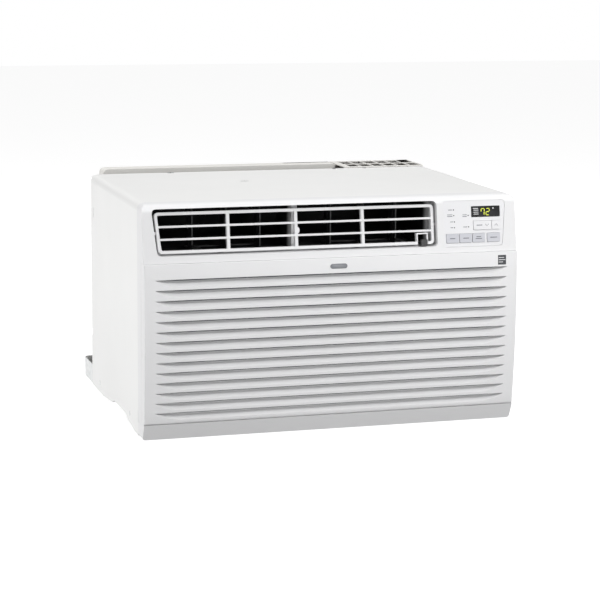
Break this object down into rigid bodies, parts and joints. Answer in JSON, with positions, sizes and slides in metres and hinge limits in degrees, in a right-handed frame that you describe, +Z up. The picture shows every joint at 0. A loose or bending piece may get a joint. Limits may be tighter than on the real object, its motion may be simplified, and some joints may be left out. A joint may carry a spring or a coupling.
{
  "type": "through-the-wall room air conditioner",
  "caption": "Room air conditioner chassis with hinged louvred intake grille, tilting discharge louver, steerable vanes, keypad and sealed cooling circuit, drawn out of its wall sleeve.",
  "frame": {"origin": "centre of the bounding box on the plane the pan stands on", "axes": "+X to the right seen from the room, +Y from the room towards outdoors, +Z up"},
  "size_m": [0.6096, 0.518, 0.369],
  "materials": {
    "galvanised": "zinc-coated sheet",
    "white_paint": "smooth baked enamel",
    "white_plastic": "fine satin moulding",
    "grey_plastic": "satin moulding",
    "filter_mesh": "woven nylon net",
    "black_plastic": "satin moulding",
    "foam": "dense insulating foam",
    "display_lens": "smoked clear window",
    "circuit_board": "laminate",
    "black_paint": "semi-gloss enamel",
    "steel": "bright steel",
    "warm_paint": "pale baked enamel",
    "coil_aluminium": "pressed fins",
    "rubber": "moulded rubber",
    "copper": "drawn copper tube",
    "can_aluminium": "drawn can"
  },
  "bodies": {
    "cabinet": {"base_pan": "galvanised", "cabinet_wrapper": "white_paint", "front_frame": "white_plastic", "outlet_duct": "foam", "control_panel": "white_plastic", "display_window": "display_lens", "control_board": "circuit_board", "bulkhead": "galvanised", "blower_housing": "foam", "blower_orifice": "grey_plastic", "fan_motor": "black_paint", "motor_bracket": "galvanised", "condenser_shroud": "warm_paint", "condenser_coil": "coil_aluminium", "evaporator_coil": "coil_aluminium", "drain_tray": "foam", "compressor": "black_paint", "accumulator": "black_paint", "terminal_cover": "black_plastic", "compressor_grommet_1": "rubber", "compressor_grommet_2": "rubber", "compressor_grommet_3": "rubber", "suction_pipe": "copper", "discharge_pipe": "copper", "liquid_line": "copper", "filter_dryer": "copper", "capillary_tube": "copper", "control_box": "galvanised", "run_capacitor": "can_aluminium", "cord_gland": "rubber", "rear_vent_panel": "warm_paint", "drain_plug": "rubber", "evaporator_sensor": "copper", "cabinet_screw_left_1": "steel", "cabinet_screw_left_2": "steel", "cabinet_screw_right_1": "steel", "cabinet_screw_right_2": "steel"},
    "grille": {"inlet_grille": "white_plastic"},
    "filter": {"filter_frame": "grey_plastic", "filter_mesh": "filter_mesh"},
    "louver": {"louver_frame": "white_plastic"},
    "left_vane_1": {"vane_left_1": "black_plastic"},
    "left_vane_2": {"vane_left_2": "black_plastic"},
    "left_vane_3": {"vane_left_3": "black_plastic"},
    "left_link": {"vane_link_left": "black_plastic"},
    "right_vane_1": {"vane_right_1": "black_plastic"},
    "right_vane_2": {"vane_right_2": "black_plastic"},
    "right_vane_3": {"vane_right_3": "black_plastic"},
    "right_link": {"vane_link_right": "black_plastic"},
    "key_mode": {"button_mode": "grey_plastic"},
    "key_timer": {"button_timer": "grey_plastic"},
    "key_fan_speed": {"button_fan_speed": "grey_plastic"},
    "key_power": {"button_power": "grey_plastic"},
    "key_temp_down": {"button_temp_down": "white_plastic"},
    "key_temp_up": {"button_temp_up": "white_plastic"},
    "fresh_air_lever": {"vent_lever": "black_plastic"},
    "fresh_air_door": {"vent_door": "black_plastic"},
    "rotor": {"fan_shaft": "steel", "blower_wheel": "black_plastic", "condenser_fan": "black_plastic"}
  },
  "joints": [
    {"name": "grille_hinge", "type": "hinge", "parent": "cabinet", "child": "grille", "pos_m": [0, -0.24754, 0.0295], "axis": [1, 0, 0], "range_deg": [0, 60]},
    {"name": "filter_lift", "type": "slide", "parent": "grille", "child": "filter", "axis": [0, 0, 1], "range_m": [0, 0.012]},
    {"name": "louver_tilt", "type": "hinge", "parent": "cabinet", "child": "louver", "pos_m": [-0.055, -0.23254, 0.32162], "axis": [1, 0, 0], "range_deg": [-15, 15]},
    {"name": "left_vane_1_swing", "type": "hinge", "parent": "cabinet", "child": "left_vane_1", "pos_m": [-0.21675, -0.187, 0.323], "axis": [0, 0, 1], "range_deg": [-25, 25]},
    {"name": "left_vane_2_swing", "type": "hinge", "parent": "cabinet", "child": "left_vane_2", "pos_m": [-0.16225, -0.187, 0.323], "axis": [0, 0, 1], "range_deg": [-25, 25]},
    {"name": "left_vane_3_swing", "type": "hinge", "parent": "cabinet", "child": "left_vane_3", "pos_m": [-0.10775, -0.187, 0.323], "axis": [0, 0, 1], "range_deg": [-25, 25]},
    {"name": "left_link_swing", "type": "hinge", "parent": "left_vane_1", "child": "left_link", "pos_m": [-0.21675, -0.174, 0.2912], "axis": [0, 0, 1], "range_deg": [-25, 25]},
    {"name": "right_vane_3_swing", "type": "hinge", "parent": "cabinet", "child": "right_vane_3", "pos_m": [0.11675, -0.187, 0.323], "axis": [0, 0, 1], "range_deg": [-25, 25]},
    {"name": "right_vane_1_swing", "type": "hinge", "parent": "cabinet", "child": "right_vane_1", "pos_m": [0.00775, -0.187, 0.323], "axis": [0, 0, 1], "range_deg": [-25, 25]},
    {"name": "right_vane_2_swing", "type": "hinge", "parent": "cabinet", "child": "right_vane_2", "pos_m": [0.06225, -0.187, 0.323], "axis": [0, 0, 1], "range_deg": [-25, 25]},
    {"name": "right_link_swing", "type": "hinge", "parent": "right_vane_3", "child": "right_link", "pos_m": [0.11675, -0.174, 0.2912], "axis": [0, 0, 1], "range_deg": [-25, 25]},
    {"name": "mode_press", "type": "slide", "parent": "cabinet", "child": "key_mode", "axis": [0, 0.9859, -0.1676], "range_m": [0, 0.0012], "stiffness_N_per_m": 400, "springref_m": -0.0006},
    {"name": "timer_press", "type": "slide", "parent": "cabinet", "child": "key_timer", "axis": [0, 0.9859, -0.1676], "range_m": [0, 0.0012], "stiffness_N_per_m": 400, "springref_m": -0.0006},
    {"name": "fan_speed_press", "type": "slide", "parent": "cabinet", "child": "key_fan_speed", "axis": [0, 0.9859, -0.1676], "range_m": [0, 0.0012], "stiffness_N_per_m": 400, "springref_m": -0.0006},
    {"name": "power_press", "type": "slide", "parent": "cabinet", "child": "key_power", "axis": [0, 0.9859, -0.1676], "range_m": [0, 0.0012], "stiffness_N_per_m": 400, "springref_m": -0.0006},
    {"name": "temp_down_press", "type": "slide", "parent": "cabinet", "child": "key_temp_down", "axis": [0, 0.9859, -0.1676], "range_m": [0, 0.0012], "stiffness_N_per_m": 400, "springref_m": -0.0006},
    {"name": "temp_up_press", "type": "slide", "parent": "cabinet", "child": "key_temp_up", "axis": [0, 0.9859, -0.1676], "range_m": [0, 0.0012], "stiffness_N_per_m": 400, "springref_m": -0.0006},
    {"name": "fresh_air_pull", "type": "slide", "parent": "cabinet", "child": "fresh_air_lever", "axis": [0, -1, 0], "range_m": [0, 0.015]},
    {"name": "fresh_air_door_swing", "type": "hinge", "parent": "cabinet", "child": "fresh_air_door", "pos_m": [0.15, -0.0545, 0.26], "axis": [1, 0, 0], "range_deg": [0, 24]},
    {"name": "fan_spin", "type": "hinge", "parent": "cabinet", "child": "rotor", "pos_m": [-0.05875, 0, 0.14965], "axis": [0, 1, 0], "continuous": true}
  ],
  "couplings": [
    {"joint": "left_vane_2_swing", "follows": "left_vane_1_swing", "ratio": 1},
    {"joint": "left_vane_3_swing", "follows": "left_vane_1_swing", "ratio": 1},
    {"joint": "left_link_swing", "follows": "left_vane_1_swing", "ratio": -1},
    {"joint": "right_vane_1_swing", "follows": "right_vane_3_swing", "ratio": 1},
    {"joint": "right_vane_2_swing", "follows": "right_vane_3_swing", "ratio": 1},
    {"joint": "right_link_swing", "follows": "right_vane_3_swing", "ratio": -1},
    {"joint": "fresh_air_door_swing", "follows": "fresh_air_pull", "rad_per_m": 27.9}
  ]
}
